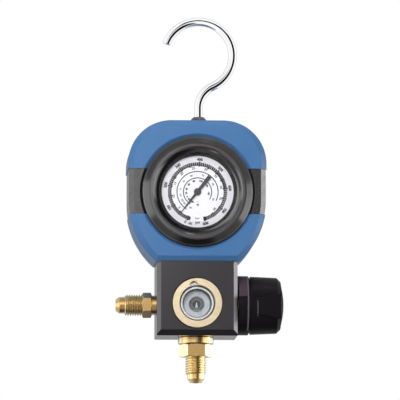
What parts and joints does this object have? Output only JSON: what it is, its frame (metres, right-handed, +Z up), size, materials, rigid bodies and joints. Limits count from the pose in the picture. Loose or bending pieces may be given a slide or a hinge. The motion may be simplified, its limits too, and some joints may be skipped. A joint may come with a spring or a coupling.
{
  "type": "refrigerant manifold gauge",
  "caption": "Single-valve refrigerant manifold gauge: round dial in a bevelled housing on a square valve block with a sight glass, flare ports, a side knob and a hanging hook.",
  "frame": {"origin": "the point inside the top of the hook that rests on whatever the gauge hangs from, on the hook's swivel axis", "axes": "+X to the right seen from the front, towards the knob; the dial faces -Y; +Z up towards the hook"},
  "size_m": [0.0871, 0.0427, 0.191],
  "materials": {
    "housing_blue": "satin moulded plastic, medium blue",
    "grip_black": "soft black rubber pads",
    "screw_steel": "zinc-plated steel screws",
    "hook_chrome": "polished chrome-plated wire",
    "collar_black": "black plastic bush",
    "bezel_black": "semi-gloss black plastic ring",
    "lens_clear": "clear flat window",
    "seal_rubber": "black rubber seals",
    "case_black": "black painted steel cup",
    "dial_white": "white printed metal dial",
    "pointer_black": "black painted aluminium needle",
    "arbor_steel": "turned steel arbors",
    "movement_brass": "stamped brass movement",
    "spring_bronze": "bronze hairspring",
    "tube_bronze": "bronze gauge tube and its end",
    "socket_brass": "machined brass gauge socket",
    "block_black": "black anodised machined aluminium",
    "sight_nickel": "nickel-plated brass ring nut",
    "sight_steel": "steel frame of the sight glass",
    "sight_clear": "thick clear sight glass",
    "cup_bright": "bright stepped insert",
    "fitting_brass": "machined brass flare fittings",
    "valve_brass": "machined brass valve parts",
    "seat_white": "white fluoropolymer seat disc",
    "knob_black": "black moulded hand knob"
  },
  "bodies": {
    "manifold": {"front_housing": "housing_blue", "rear_housing": "housing_blue", "side_grip_left": "grip_black", "side_grip_right": "grip_black", "housing_screws": "screw_steel", "block_screws": "screw_steel", "hook_collar": "collar_black", "bezel_ring": "bezel_black", "lens": "lens_clear", "lens_gasket": "seal_rubber", "gauge_case": "case_black", "dial_plate": "dial_white", "dial_screws": "screw_steel", "movement_front_plate": "movement_brass", "movement_rear_plate": "movement_brass", "movement_pillars": "movement_brass", "movement_screws": "screw_steel", "hairspring": "spring_bronze", "bourdon_tube": "tube_bronze", "tube_end": "tube_bronze", "gauge_socket": "socket_brass", "case_screws": "screw_steel", "socket_washer": "seal_rubber", "manifold_block": "block_black", "sight_ring_nut": "sight_nickel", "sight_frame": "sight_steel", "sight_glass": "sight_clear", "sight_seal": "seal_rubber", "sight_cup": "cup_bright", "left_port_fitting": "fitting_brass", "bottom_port_fitting": "fitting_brass", "valve_bonnet": "valve_brass", "bonnet_seal": "seal_rubber"},
    "hook": {"hook": "hook_chrome", "hook_washer": "hook_chrome", "hook_nut": "hook_chrome"},
    "valve_piston": {"valve_piston": "valve_brass", "seat_disc": "seat_white"},
    "valve_spindle": {"valve_stem": "valve_brass", "stem_packing": "seal_rubber", "valve_knob": "knob_black", "knob_screw": "screw_steel", "knob_cap": "knob_black"},
    "pointer": {"pointer": "pointer_black", "pinion_arbor": "arbor_steel"},
    "sector": {"sector_gear": "movement_brass", "sector_arbor": "arbor_steel", "link_pin": "arbor_steel"},
    "link": {"link": "movement_brass"}
  },
  "joints": [
    {"name": "hook_swivel", "type": "hinge", "parent": "manifold", "child": "hook", "pos_m": [0, 0, -0.05], "axis": [0, 0, 1], "continuous": true},
    {"name": "piston_slide", "type": "slide", "parent": "manifold", "child": "valve_piston", "axis": [1, 0, 0], "range_m": [0, 0.002]},
    {"name": "knob_turn", "type": "hinge", "parent": "valve_piston", "child": "valve_spindle", "pos_m": [0.03, 0, -0.1463], "axis": [1, 0, 0], "range_deg": [0, 720]},
    {"name": "pointer_spin", "type": "hinge", "parent": "manifold", "child": "pointer", "pos_m": [-0.0014, -0.015, -0.0889], "axis": [0, 1, 0], "range_deg": [-24.4, 307.4], "deforming": ["hairspring"]},
    {"name": "sector_swing", "type": "hinge", "parent": "manifold", "child": "sector", "pos_m": [-0.0014, -0.009, -0.1024], "axis": [0, 1, 0], "range_deg": [-38.42, 3.05], "stiffness_Nm_per_rad": 0.05},
    {"name": "link_swing", "type": "hinge", "parent": "sector", "child": "link", "pos_m": [0.00204, -0.0102, -0.10481], "axis": [0, 1, 0], "range_deg": [-3.06, 38.43]}
  ],
  "couplings": [
    {"joint": "knob_turn", "follows": "piston_slide", "rad_per_m": 6283.2},
    {"joint": "pointer_spin", "follows": "sector_swing", "ratio": -8},
    {"joint": "link_swing", "follows": "sector_swing", "ratio": -1}
  ]
}
